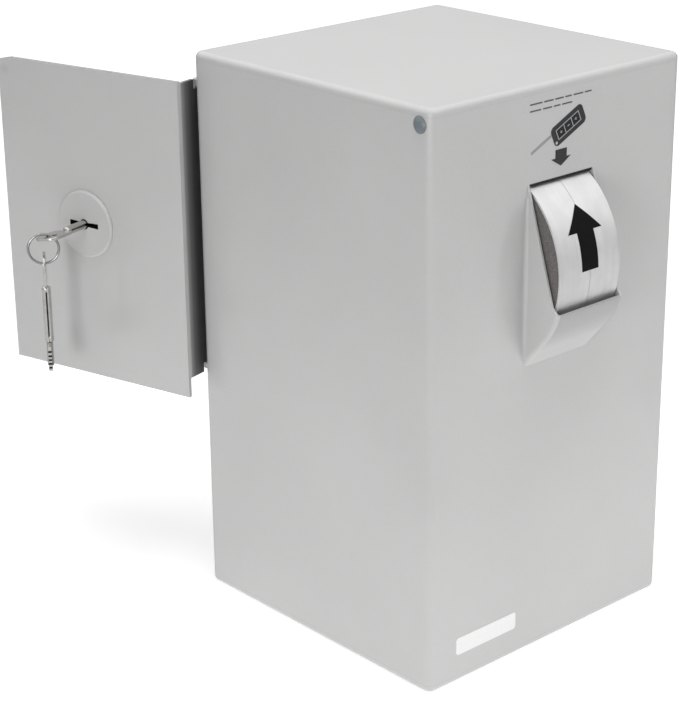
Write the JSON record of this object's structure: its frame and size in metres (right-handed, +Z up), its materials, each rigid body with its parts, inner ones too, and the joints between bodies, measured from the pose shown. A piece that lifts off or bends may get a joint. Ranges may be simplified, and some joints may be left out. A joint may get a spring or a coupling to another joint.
{
  "type": "key drop box",
  "caption": "Upright steel key drop box: a hooded drum in the front takes keys in and turns to drop them, and a locked rear door lets them out, its keys on a ring in the lock.",
  "frame": {"origin": "centre of the underside, on the surface it stands on", "axes": "+X to the right as seen from the front, +Y to the rear, +Z up; the rear door stands open as stored"},
  "size_m": [0.2415, 0.3139, 0.3],
  "materials": {
    "case_paint": "satin silver-grey powder coat",
    "door_paint": "satin silver-grey powder coat",
    "carrier_zinc": "zinc plated",
    "lock_black": "blackened steel",
    "drum_steel": "brushed",
    "disc_plastic": "fine grain",
    "bush_plastic": "natural",
    "bright_steel": "turned",
    "spring_steel": "blackened",
    "lever_brass": "stamped",
    "bolt_steel": "nickel plated",
    "key_nickel": "nickel plated casting",
    "ring_steel": "bright wire",
    "plug_plastic": "matte",
    "mat_foam": "foam",
    "buffer_rubber": "matte",
    "label_white": "film",
    "film_black": "film",
    "print_dark": "print",
    "print_pale": "print"
  },
  "bodies": {
    "case": {"body_wrap": "case_paint", "top_plate": "case_paint", "bottom_plate": "case_paint", "rear_plate": "case_paint", "door_collar": "case_paint", "drum_hood": "case_paint", "floor_mat": "mat_foam", "hole_plug": "plug_plastic", "cheek_left": "carrier_zinc", "cheek_right": "carrier_zinc", "axle_bush_left": "bush_plastic", "axle_bush_right": "bush_plastic", "drum_guard": "carrier_zinc", "carrier_studs": "carrier_zinc", "carrier_nuts": "carrier_zinc", "front_label": "label_white", "fob_print": "print_dark", "blade_print": "print_pale", "down_arrow_print": "print_dark", "hinge_lug_lower": "door_paint", "hinge_lug_upper": "door_paint", "hinge_pins": "bright_steel", "hinge_washers": "bright_steel"},
    "drum": {"drum_cover": "drum_steel", "drum_pocket": "drum_steel", "drum_disc_left": "disc_plastic", "drum_disc_right": "disc_plastic", "drum_tie_bars": "carrier_zinc", "drum_axle": "bright_steel", "axle_clips": "spring_steel", "drum_stop_pin": "bright_steel", "drum_arrow": "film_black"},
    "door": {"door_panel": "door_paint", "door_knuckles": "door_paint", "door_buffers": "buffer_rubber", "keyhole_rosette": "door_paint", "lock_case": "lock_black", "lock_cover": "lock_black", "lock_screws": "bright_steel", "lever_post": "bright_steel"},
    "bolt": {"lock_bolt": "bolt_steel"},
    "levers": {"lock_levers": "lever_brass"},
    "key": {"lock_key": "key_nickel"},
    "ring": {"key_ring": "ring_steel"},
    "spare": {"spare_key": "key_nickel"}
  },
  "joints": [
    {"name": "drum_turn", "type": "hinge", "parent": "case", "child": "drum", "pos_m": [0, -0.0555, 0.2075], "axis": [-1, 0, 0], "range_deg": [0, 78]},
    {"name": "door_hinge", "type": "hinge", "parent": "case", "child": "door", "pos_m": [-0.08, 0.0915, 0.2], "axis": [0, 0, 1], "range_deg": [-104.4, 10.6]},
    {"name": "key_turn", "type": "hinge", "parent": "door", "child": "key", "pos_m": [-0.11554, 0.14948, 0.2005], "axis": [-0.9686, -0.2487, 0], "range_deg": [-10, 80]},
    {"name": "bolt_slide", "type": "slide", "parent": "door", "child": "bolt", "axis": [-0.2487, 0.9686, 0], "range_m": [-0.0008, 0.0058]},
    {"name": "lever_lift", "type": "hinge", "parent": "door", "child": "levers", "pos_m": [-0.1035, 0.18303, 0.2135], "axis": [-0.9686, -0.2487, 0], "range_deg": [-0.5, 4]},
    {"name": "ring_swing", "type": "hinge", "parent": "key", "child": "ring", "pos_m": [-0.14668, 0.14521, 0.2005], "axis": [-0.8231, 0.5678, 0], "range_deg": [-12, 30]},
    {"name": "spare_swing", "type": "hinge", "parent": "ring", "child": "spare", "pos_m": [-0.14668, 0.14521, 0.18596], "axis": [-0.8231, 0.5678, 0], "range_deg": [-12, 30]}
  ],
  "couplings": [
    {"joint": "bolt_slide", "follows": "key_turn", "m_per_rad": 0.004137},
    {"joint": "lever_lift", "follows": "key_turn", "ratio": 0.049}
  ]
}
